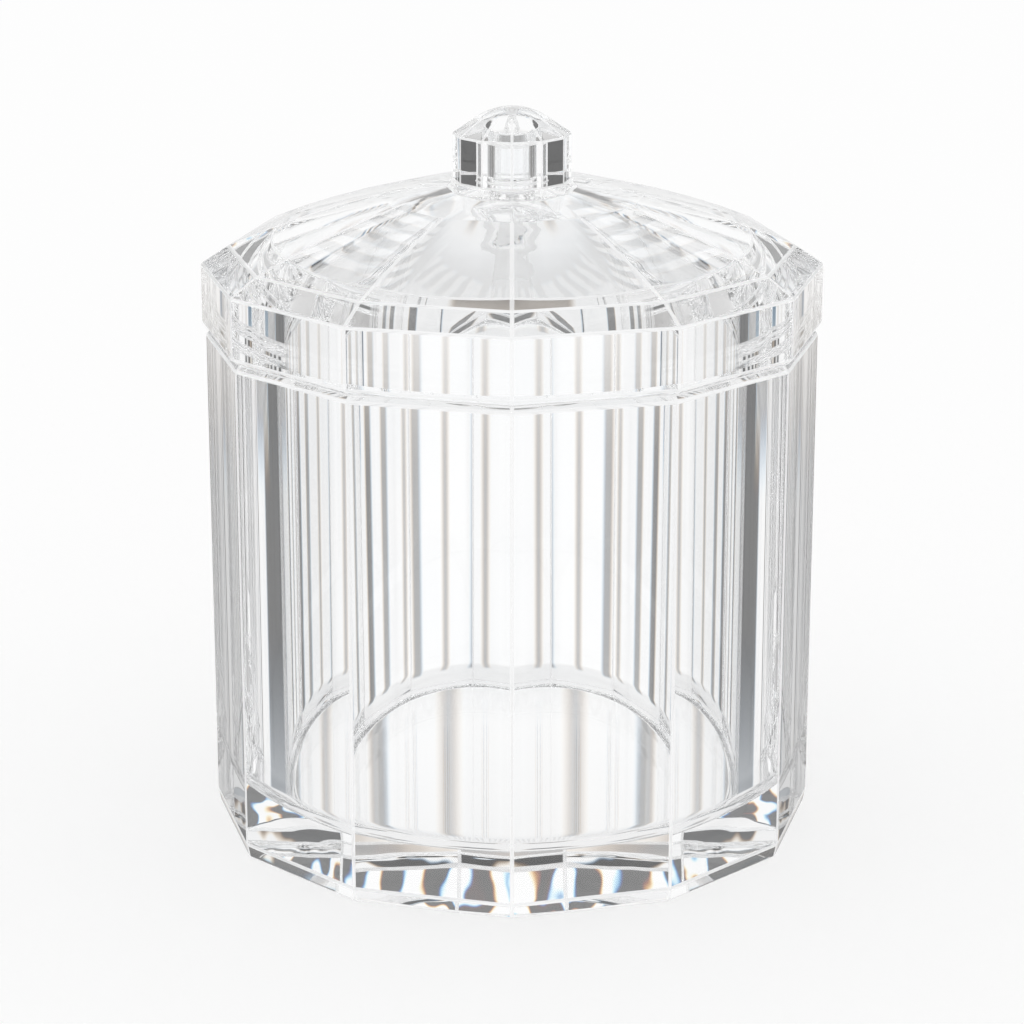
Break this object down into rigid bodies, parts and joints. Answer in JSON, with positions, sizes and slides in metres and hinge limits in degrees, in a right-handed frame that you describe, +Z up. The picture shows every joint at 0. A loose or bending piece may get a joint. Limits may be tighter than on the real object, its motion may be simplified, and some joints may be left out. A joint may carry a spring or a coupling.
{
  "type": "acrylic storage jar",
  "caption": "Clear twelve-sided storage jar with a thick base, a round bore, a lift-off faceted lid and a faceted knob",
  "frame": {"origin": "centre of the foot, on the surface that the jar stands on", "axes": "+Z up along the jar's axis; one corner of the twelve-sided body points to -Y, towards the picture's camera"},
  "size_m": [0.1012, 0.1012, 0.1194],
  "materials": {
    "clear_acrylic": "polished clear acrylic"
  },
  "bodies": {
    "root": {"jar_body": "clear_acrylic", "lid": "clear_acrylic", "knob": "clear_acrylic"}
  },
  "joints": []
}
